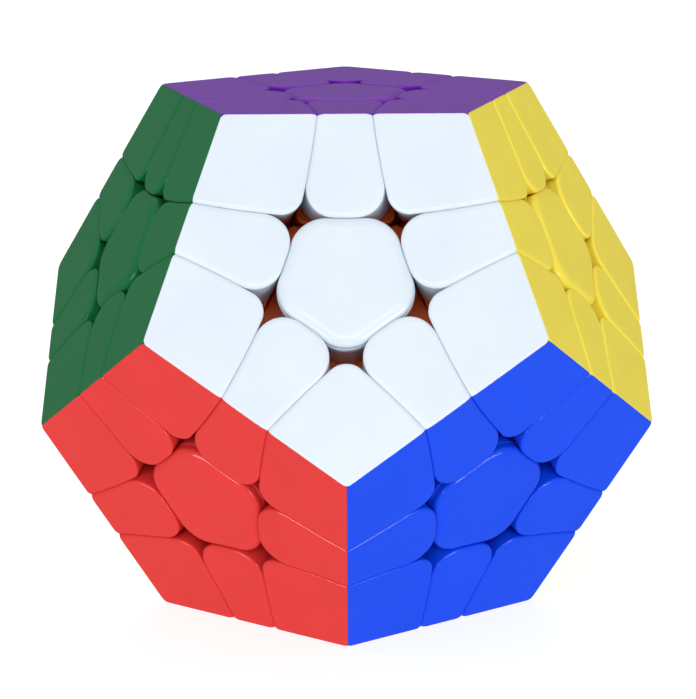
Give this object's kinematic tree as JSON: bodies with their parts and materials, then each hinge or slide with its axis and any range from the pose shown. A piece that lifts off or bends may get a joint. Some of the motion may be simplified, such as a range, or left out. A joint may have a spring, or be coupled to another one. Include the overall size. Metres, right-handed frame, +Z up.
{
  "type": "dodecahedron twisty puzzle",
  "caption": "Twelve-sided twisty puzzle: coloured centre, edge and corner pieces round a core, and each face turns about its own axis.",
  "frame": {"origin": "centre of the core, where the axes of all twelve faces meet; it is also the centre of the box", "axes": "+Z up through the purple face, with the pink face down; the white face looks along -Y and leans up"},
  "size_m": [0.0838, 0.088, 0.0712],
  "materials": {
    "plastic_purple": "satin",
    "plastic_white": "satin",
    "plastic_yellow": "satin",
    "plastic_orange": "satin",
    "plastic_sky": "satin",
    "plastic_green": "satin",
    "plastic_blue": "satin",
    "plastic_lime": "satin",
    "plastic_grey": "satin",
    "plastic_cream": "satin",
    "plastic_red": "satin",
    "plastic_pink": "satin",
    "core_plastic": "satin",
    "steel": "satin"
  },
  "bodies": {
    "core": {"core_with_centre_pink": "core_plastic"},
    "centre_purple": {"centre_purple": "plastic_purple"},
    "centre_white": {"centre_white": "plastic_white"},
    "centre_yellow": {"centre_yellow": "plastic_yellow"},
    "centre_orange": {"centre_orange": "plastic_orange"},
    "centre_sky": {"centre_sky": "plastic_sky"},
    "centre_green": {"centre_green": "plastic_green"},
    "centre_blue": {"centre_blue": "plastic_blue", "edge_blue_pink": "plastic_blue"},
    "centre_lime": {"centre_lime": "plastic_lime", "edge_lime_pink": "plastic_lime"},
    "centre_grey": {"centre_grey": "plastic_grey", "edge_grey_pink": "plastic_grey"},
    "centre_cream": {"centre_cream": "plastic_cream", "edge_cream_pink": "plastic_cream"},
    "centre_red": {"centre_red": "plastic_red", "edge_red_pink": "plastic_red"},
    "edge_purple_white": {"edge_purple_white": "plastic_purple"},
    "edge_purple_yellow": {"edge_purple_yellow": "plastic_purple"},
    "edge_purple_orange": {"edge_purple_orange": "plastic_purple"},
    "edge_purple_sky": {"edge_purple_sky": "plastic_purple"},
    "edge_purple_green": {"edge_purple_green": "plastic_purple"},
    "edge_white_yellow": {"edge_white_yellow": "plastic_white"},
    "edge_white_green": {"edge_white_green": "plastic_white"},
    "edge_white_blue": {"edge_white_blue": "plastic_white"},
    "edge_white_red": {"edge_white_red": "plastic_white"},
    "edge_yellow_orange": {"edge_yellow_orange": "plastic_yellow"},
    "edge_yellow_blue": {"edge_yellow_blue": "plastic_yellow"},
    "edge_yellow_lime": {"edge_yellow_lime": "plastic_yellow"},
    "edge_orange_sky": {"edge_orange_sky": "plastic_orange"},
    "edge_orange_lime": {"edge_orange_lime": "plastic_orange"},
    "edge_orange_grey": {"edge_orange_grey": "plastic_orange"},
    "edge_sky_green": {"edge_sky_green": "plastic_sky"},
    "edge_sky_grey": {"edge_sky_grey": "plastic_sky"},
    "edge_sky_cream": {"edge_sky_cream": "plastic_sky"},
    "edge_green_cream": {"edge_green_cream": "plastic_green"},
    "edge_green_red": {"edge_green_red": "plastic_green"},
    "edge_blue_lime": {"edge_blue_lime": "plastic_blue", "corner_blue_lime_pink": "plastic_blue"},
    "edge_blue_red": {"edge_blue_red": "plastic_blue", "corner_blue_red_pink": "plastic_blue"},
    "edge_lime_grey": {"edge_lime_grey_with_corner_pink": "plastic_lime"},
    "edge_grey_cream": {"edge_grey_cream_with_corner_pink": "plastic_grey"},
    "edge_cream_red": {"edge_cream_red": "plastic_cream", "corner_cream_red_pink": "plastic_cream"},
    "corner_purple_white_yellow": {"corner_purple_white_yellow": "plastic_purple"},
    "corner_purple_white_green": {"corner_purple_white_green": "plastic_purple"},
    "corner_purple_yellow_orange": {"corner_purple_yellow_orange": "plastic_purple"},
    "corner_purple_orange_sky": {"corner_purple_orange_sky": "plastic_purple"},
    "corner_purple_sky_green": {"corner_purple_sky_green": "plastic_purple"},
    "corner_white_yellow_blue": {"corner_white_yellow_blue": "plastic_white"},
    "corner_white_green_red": {"corner_white_green_red": "plastic_white"},
    "corner_white_blue_red": {"corner_white_blue_red": "plastic_white"},
    "corner_yellow_orange_lime": {"corner_yellow_orange_lime": "plastic_yellow"},
    "corner_yellow_blue_lime": {"corner_yellow_blue_lime": "plastic_yellow"},
    "corner_orange_sky_grey": {"corner_orange_sky_grey": "plastic_orange"},
    "corner_orange_lime_grey": {"corner_orange_lime_grey": "plastic_orange"},
    "corner_sky_green_cream": {"corner_sky_green_cream": "plastic_sky"},
    "corner_sky_grey_cream": {"corner_sky_grey_cream": "plastic_sky"},
    "corner_green_cream_red": {"corner_green_cream_red": "plastic_green"}
  },
  "joints": [
    {"name": "turn_purple", "type": "hinge", "parent": "core", "child": "centre_purple", "pos_m": [0, 0, 0], "axis": [0, 0, 1], "range_deg": [-432, 504]},
    {"name": "turn_white", "type": "hinge", "parent": "core", "child": "centre_white", "pos_m": [0, 0, 0], "axis": [0, -0.8944, 0.4472], "range_deg": [-432, 504]},
    {"name": "turn_yellow", "type": "hinge", "parent": "core", "child": "centre_yellow", "pos_m": [0, 0, 0], "axis": [0.8507, -0.2764, 0.4472], "range_deg": [-432, 504]},
    {"name": "turn_orange", "type": "hinge", "parent": "core", "child": "centre_orange", "pos_m": [0, 0, 0], "axis": [0.5257, 0.7236, 0.4472], "range_deg": [-432, 504]},
    {"name": "turn_sky", "type": "hinge", "parent": "core", "child": "centre_sky", "pos_m": [0, 0, 0], "axis": [-0.5257, 0.7236, 0.4472], "range_deg": [-432, 504]},
    {"name": "turn_green", "type": "hinge", "parent": "core", "child": "centre_green", "pos_m": [0, 0, 0], "axis": [-0.8507, -0.2764, 0.4472], "range_deg": [-432, 504]},
    {"name": "turn_blue", "type": "hinge", "parent": "core", "child": "centre_blue", "pos_m": [0, 0, 0], "axis": [0.5257, -0.7236, -0.4472], "range_deg": [-432, 504]},
    {"name": "turn_lime", "type": "hinge", "parent": "core", "child": "centre_lime", "pos_m": [0, 0, 0], "axis": [0.8507, 0.2764, -0.4472], "range_deg": [-432, 504]},
    {"name": "turn_grey", "type": "hinge", "parent": "core", "child": "centre_grey", "pos_m": [0, 0, 0], "axis": [0, 0.8944, -0.4472], "range_deg": [-432, 504]},
    {"name": "turn_cream", "type": "hinge", "parent": "core", "child": "centre_cream", "pos_m": [0, 0, 0], "axis": [-0.8507, 0.2764, -0.4472], "range_deg": [-432, 504]},
    {"name": "turn_red", "type": "hinge", "parent": "core", "child": "centre_red", "pos_m": [0, 0, 0], "axis": [-0.5257, -0.7236, -0.4472], "range_deg": [-432, 504]},
    {"name": "edge_purple_white_about_purple", "type": "hinge", "parent": "centre_white", "child": "edge_purple_white", "pos_m": [0, 0, 0], "axis": [0, 0, 1], "range_deg": [-432, 504]},
    {"name": "edge_purple_yellow_about_purple", "type": "hinge", "parent": "centre_yellow", "child": "edge_purple_yellow", "pos_m": [0, 0, 0], "axis": [0, 0, 1], "range_deg": [-432, 504]},
    {"name": "edge_purple_orange_about_purple", "type": "hinge", "parent": "centre_orange", "child": "edge_purple_orange", "pos_m": [0, 0, 0], "axis": [0, 0, 1], "range_deg": [-432, 504]},
    {"name": "edge_purple_sky_about_purple", "type": "hinge", "parent": "centre_sky", "child": "edge_purple_sky", "pos_m": [0, 0, 0], "axis": [0, 0, 1], "range_deg": [-432, 504]},
    {"name": "edge_purple_green_about_purple", "type": "hinge", "parent": "centre_green", "child": "edge_purple_green", "pos_m": [0, 0, 0], "axis": [0, 0, 1], "range_deg": [-432, 504]},
    {"name": "edge_white_yellow_about_yellow", "type": "hinge", "parent": "centre_white", "child": "edge_white_yellow", "pos_m": [0, 0, 0], "axis": [0.8507, -0.2764, 0.4472], "range_deg": [-432, 504]},
    {"name": "edge_white_green_about_white", "type": "hinge", "parent": "centre_green", "child": "edge_white_green", "pos_m": [0, 0, 0], "axis": [0, -0.8944, 0.4472], "range_deg": [-432, 504]},
    {"name": "edge_white_blue_about_white", "type": "hinge", "parent": "centre_blue", "child": "edge_white_blue", "pos_m": [0, 0, 0], "axis": [0, -0.8944, 0.4472], "range_deg": [-432, 504]},
    {"name": "edge_white_red_about_red", "type": "hinge", "parent": "centre_white", "child": "edge_white_red", "pos_m": [0, 0, 0], "axis": [-0.5257, -0.7236, -0.4472], "range_deg": [-432, 504]},
    {"name": "edge_yellow_orange_about_orange", "type": "hinge", "parent": "centre_yellow", "child": "edge_yellow_orange", "pos_m": [0, 0, 0], "axis": [0.5257, 0.7236, 0.4472], "range_deg": [-432, 504]},
    {"name": "edge_yellow_blue_about_blue", "type": "hinge", "parent": "centre_yellow", "child": "edge_yellow_blue", "pos_m": [0, 0, 0], "axis": [0.5257, -0.7236, -0.4472], "range_deg": [-432, 504]},
    {"name": "edge_yellow_lime_about_yellow", "type": "hinge", "parent": "centre_lime", "child": "edge_yellow_lime", "pos_m": [0, 0, 0], "axis": [0.8507, -0.2764, 0.4472], "range_deg": [-432, 504]},
    {"name": "edge_orange_sky_about_sky", "type": "hinge", "parent": "centre_orange", "child": "edge_orange_sky", "pos_m": [0, 0, 0], "axis": [-0.5257, 0.7236, 0.4472], "range_deg": [-432, 504]},
    {"name": "edge_orange_lime_about_lime", "type": "hinge", "parent": "centre_orange", "child": "edge_orange_lime", "pos_m": [0, 0, 0], "axis": [0.8507, 0.2764, -0.4472], "range_deg": [-432, 504]},
    {"name": "edge_orange_grey_about_orange", "type": "hinge", "parent": "centre_grey", "child": "edge_orange_grey", "pos_m": [0, 0, 0], "axis": [0.5257, 0.7236, 0.4472], "range_deg": [-432, 504]},
    {"name": "edge_sky_green_about_green", "type": "hinge", "parent": "centre_sky", "child": "edge_sky_green", "pos_m": [0, 0, 0], "axis": [-0.8507, -0.2764, 0.4472], "range_deg": [-432, 504]},
    {"name": "edge_sky_grey_about_grey", "type": "hinge", "parent": "centre_sky", "child": "edge_sky_grey", "pos_m": [0, 0, 0], "axis": [0, 0.8944, -0.4472], "range_deg": [-432, 504]},
    {"name": "edge_sky_cream_about_sky", "type": "hinge", "parent": "centre_cream", "child": "edge_sky_cream", "pos_m": [0, 0, 0], "axis": [-0.5257, 0.7236, 0.4472], "range_deg": [-432, 504]},
    {"name": "edge_green_cream_about_cream", "type": "hinge", "parent": "centre_green", "child": "edge_green_cream", "pos_m": [0, 0, 0], "axis": [-0.8507, 0.2764, -0.4472], "range_deg": [-432, 504]},
    {"name": "edge_green_red_about_green", "type": "hinge", "parent": "centre_red", "child": "edge_green_red", "pos_m": [0, 0, 0], "axis": [-0.8507, -0.2764, 0.4472], "range_deg": [-432, 504]},
    {"name": "edge_blue_lime_about_lime", "type": "hinge", "parent": "centre_blue", "child": "edge_blue_lime", "pos_m": [0, 0, 0], "axis": [0.8507, 0.2764, -0.4472], "range_deg": [-432, 504]},
    {"name": "edge_blue_red_about_blue", "type": "hinge", "parent": "centre_red", "child": "edge_blue_red", "pos_m": [0, 0, 0], "axis": [0.5257, -0.7236, -0.4472], "range_deg": [-432, 504]},
    {"name": "edge_lime_grey_about_grey", "type": "hinge", "parent": "centre_lime", "child": "edge_lime_grey", "pos_m": [0, 0, 0], "axis": [0, 0.8944, -0.4472], "range_deg": [-432, 504]},
    {"name": "edge_grey_cream_about_cream", "type": "hinge", "parent": "centre_grey", "child": "edge_grey_cream", "pos_m": [0, 0, 0], "axis": [-0.8507, 0.2764, -0.4472], "range_deg": [-432, 504]},
    {"name": "edge_cream_red_about_red", "type": "hinge", "parent": "centre_cream", "child": "edge_cream_red", "pos_m": [0, 0, 0], "axis": [-0.5257, -0.7236, -0.4472], "range_deg": [-432, 504]},
    {"name": "corner_purple_white_yellow_about_yellow", "type": "hinge", "parent": "edge_purple_white", "child": "corner_purple_white_yellow", "pos_m": [0, 0, 0], "axis": [0.8507, -0.2764, 0.4472], "range_deg": [-432, 504]},
    {"name": "corner_purple_white_green_about_white", "type": "hinge", "parent": "edge_purple_green", "child": "corner_purple_white_green", "pos_m": [0, 0, 0], "axis": [0, -0.8944, 0.4472], "range_deg": [-432, 504]},
    {"name": "corner_purple_yellow_orange_about_orange", "type": "hinge", "parent": "edge_purple_yellow", "child": "corner_purple_yellow_orange", "pos_m": [0, 0, 0], "axis": [0.5257, 0.7236, 0.4472], "range_deg": [-432, 504]},
    {"name": "corner_purple_orange_sky_about_sky", "type": "hinge", "parent": "edge_purple_orange", "child": "corner_purple_orange_sky", "pos_m": [0, 0, 0], "axis": [-0.5257, 0.7236, 0.4472], "range_deg": [-432, 504]},
    {"name": "corner_purple_sky_green_about_green", "type": "hinge", "parent": "edge_purple_sky", "child": "corner_purple_sky_green", "pos_m": [0, 0, 0], "axis": [-0.8507, -0.2764, 0.4472], "range_deg": [-432, 504]},
    {"name": "corner_white_yellow_blue_about_white", "type": "hinge", "parent": "edge_yellow_blue", "child": "corner_white_yellow_blue", "pos_m": [0, 0, 0], "axis": [0, -0.8944, 0.4472], "range_deg": [-432, 504]},
    {"name": "corner_white_green_red_about_green", "type": "hinge", "parent": "edge_white_red", "child": "corner_white_green_red", "pos_m": [0, 0, 0], "axis": [-0.8507, -0.2764, 0.4472], "range_deg": [-432, 504]},
    {"name": "corner_white_blue_red_about_white", "type": "hinge", "parent": "edge_blue_red", "child": "corner_white_blue_red", "pos_m": [0, 0, 0], "axis": [0, -0.8944, 0.4472], "range_deg": [-432, 504]},
    {"name": "corner_yellow_orange_lime_about_yellow", "type": "hinge", "parent": "edge_orange_lime", "child": "corner_yellow_orange_lime", "pos_m": [0, 0, 0], "axis": [0.8507, -0.2764, 0.4472], "range_deg": [-432, 504]},
    {"name": "corner_yellow_blue_lime_about_yellow", "type": "hinge", "parent": "edge_blue_lime", "child": "corner_yellow_blue_lime", "pos_m": [0, 0, 0], "axis": [0.8507, -0.2764, 0.4472], "range_deg": [-432, 504]},
    {"name": "corner_orange_sky_grey_about_orange", "type": "hinge", "parent": "edge_sky_grey", "child": "corner_orange_sky_grey", "pos_m": [0, 0, 0], "axis": [0.5257, 0.7236, 0.4472], "range_deg": [-432, 504]},
    {"name": "corner_orange_lime_grey_about_orange", "type": "hinge", "parent": "edge_lime_grey", "child": "corner_orange_lime_grey", "pos_m": [0, 0, 0], "axis": [0.5257, 0.7236, 0.4472], "range_deg": [-432, 504]},
    {"name": "corner_sky_green_cream_about_sky", "type": "hinge", "parent": "edge_green_cream", "child": "corner_sky_green_cream", "pos_m": [0, 0, 0], "axis": [-0.5257, 0.7236, 0.4472], "range_deg": [-432, 504]},
    {"name": "corner_sky_grey_cream_about_sky", "type": "hinge", "parent": "edge_grey_cream", "child": "corner_sky_grey_cream", "pos_m": [0, 0, 0], "axis": [-0.5257, 0.7236, 0.4472], "range_deg": [-432, 504]},
    {"name": "corner_green_cream_red_about_green", "type": "hinge", "parent": "edge_cream_red", "child": "corner_green_cream_red", "pos_m": [0, 0, 0], "axis": [-0.8507, -0.2764, 0.4472], "range_deg": [-432, 504]}
  ],
  "couplings": [
    {"joint": "edge_purple_white_about_purple", "follows": "turn_purple", "ratio": 1},
    {"joint": "edge_purple_yellow_about_purple", "follows": "turn_purple", "ratio": 1},
    {"joint": "edge_purple_orange_about_purple", "follows": "turn_purple", "ratio": 1},
    {"joint": "edge_purple_sky_about_purple", "follows": "turn_purple", "ratio": 1},
    {"joint": "edge_purple_green_about_purple", "follows": "turn_purple", "ratio": 1},
    {"joint": "edge_white_yellow_about_yellow", "follows": "turn_yellow", "ratio": 1},
    {"joint": "edge_white_green_about_white", "follows": "turn_white", "ratio": 1},
    {"joint": "edge_white_blue_about_white", "follows": "turn_white", "ratio": 1},
    {"joint": "edge_white_red_about_red", "follows": "turn_red", "ratio": 1},
    {"joint": "edge_yellow_orange_about_orange", "follows": "turn_orange", "ratio": 1},
    {"joint": "edge_yellow_blue_about_blue", "follows": "turn_blue", "ratio": 1},
    {"joint": "edge_yellow_lime_about_yellow", "follows": "turn_yellow", "ratio": 1},
    {"joint": "edge_orange_sky_about_sky", "follows": "turn_sky", "ratio": 1},
    {"joint": "edge_orange_lime_about_lime", "follows": "turn_lime", "ratio": 1},
    {"joint": "edge_orange_grey_about_orange", "follows": "turn_orange", "ratio": 1},
    {"joint": "edge_sky_green_about_green", "follows": "turn_green", "ratio": 1},
    {"joint": "edge_sky_grey_about_grey", "follows": "turn_grey", "ratio": 1},
    {"joint": "edge_sky_cream_about_sky", "follows": "turn_sky", "ratio": 1},
    {"joint": "edge_green_cream_about_cream", "follows": "turn_cream", "ratio": 1},
    {"joint": "edge_green_red_about_green", "follows": "turn_green", "ratio": 1},
    {"joint": "edge_blue_lime_about_lime", "follows": "turn_lime", "ratio": 1},
    {"joint": "edge_blue_red_about_blue", "follows": "turn_blue", "ratio": 1},
    {"joint": "edge_lime_grey_about_grey", "follows": "turn_grey", "ratio": 1},
    {"joint": "edge_grey_cream_about_cream", "follows": "turn_cream", "ratio": 1},
    {"joint": "edge_cream_red_about_red", "follows": "turn_red", "ratio": 1},
    {"joint": "corner_purple_white_yellow_about_yellow", "follows": "turn_yellow", "ratio": 1},
    {"joint": "corner_purple_white_green_about_white", "follows": "turn_white", "ratio": 1},
    {"joint": "corner_purple_yellow_orange_about_orange", "follows": "turn_orange", "ratio": 1},
    {"joint": "corner_purple_orange_sky_about_sky", "follows": "turn_sky", "ratio": 1},
    {"joint": "corner_purple_sky_green_about_green", "follows": "turn_green", "ratio": 1},
    {"joint": "corner_white_yellow_blue_about_white", "follows": "turn_white", "ratio": 1},
    {"joint": "corner_white_green_red_about_green", "follows": "turn_green", "ratio": 1},
    {"joint": "corner_white_blue_red_about_white", "follows": "turn_white", "ratio": 1},
    {"joint": "corner_yellow_orange_lime_about_yellow", "follows": "turn_yellow", "ratio": 1},
    {"joint": "corner_yellow_blue_lime_about_yellow", "follows": "turn_yellow", "ratio": 1},
    {"joint": "corner_orange_sky_grey_about_orange", "follows": "turn_orange", "ratio": 1},
    {"joint": "corner_orange_lime_grey_about_orange", "follows": "turn_orange", "ratio": 1},
    {"joint": "corner_sky_green_cream_about_sky", "follows": "turn_sky", "ratio": 1},
    {"joint": "corner_sky_grey_cream_about_sky", "follows": "turn_sky", "ratio": 1},
    {"joint": "corner_green_cream_red_about_green", "follows": "turn_green", "ratio": 1}
  ]
}
